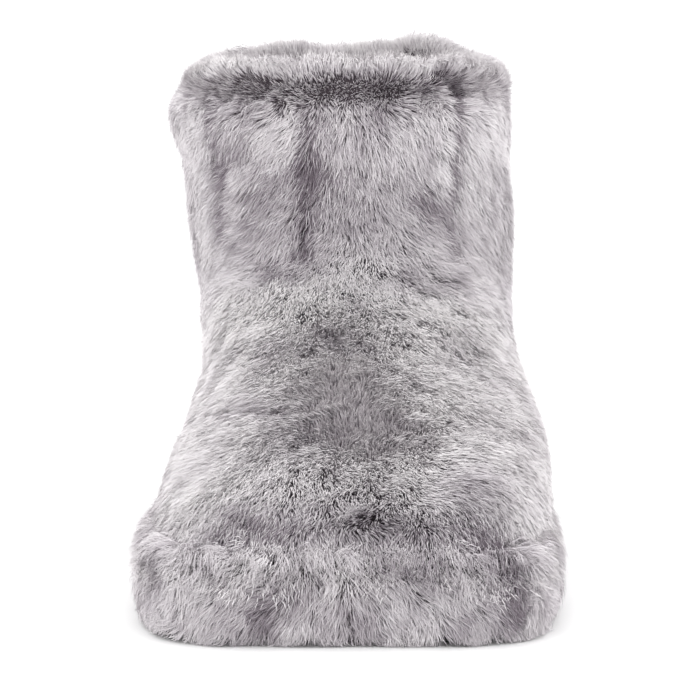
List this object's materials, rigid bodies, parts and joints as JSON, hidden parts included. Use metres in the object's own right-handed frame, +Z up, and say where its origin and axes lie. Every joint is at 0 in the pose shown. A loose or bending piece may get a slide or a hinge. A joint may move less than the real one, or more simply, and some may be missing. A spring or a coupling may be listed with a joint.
{
  "type": "bootie slipper",
  "caption": "Ankle-high bootie slipper in deep faux fur, with a fur-wrapped platform sole, a rolled fur collar and a padded insole.",
  "frame": {"origin": "on the floor, in the middle of the slipper's outline", "axes": "+Z up from the floor, -Y towards the toe, +Y towards the heel, +X towards the big-toe side"},
  "size_m": [0.1364, 0.2822, 0.1656],
  "materials": {
    "sole_rubber": "matt moulded rubber",
    "fur_wrap": "long plush pile, dark roots and silver tips",
    "insole_plush": "short plush",
    "fur_upper": "long plush pile, dark roots and silver tips",
    "fur_shaft": "long plush pile, dark roots and silver tips",
    "fur_collar": "long plush pile, dark roots and silver tips"
  },
  "bodies": {
    "root": {"sole": "sole_rubber", "sole_wrap": "fur_wrap", "insole": "insole_plush", "upper": "fur_upper", "shaft": "fur_shaft", "collar": "fur_collar"}
  },
  "joints": []
}
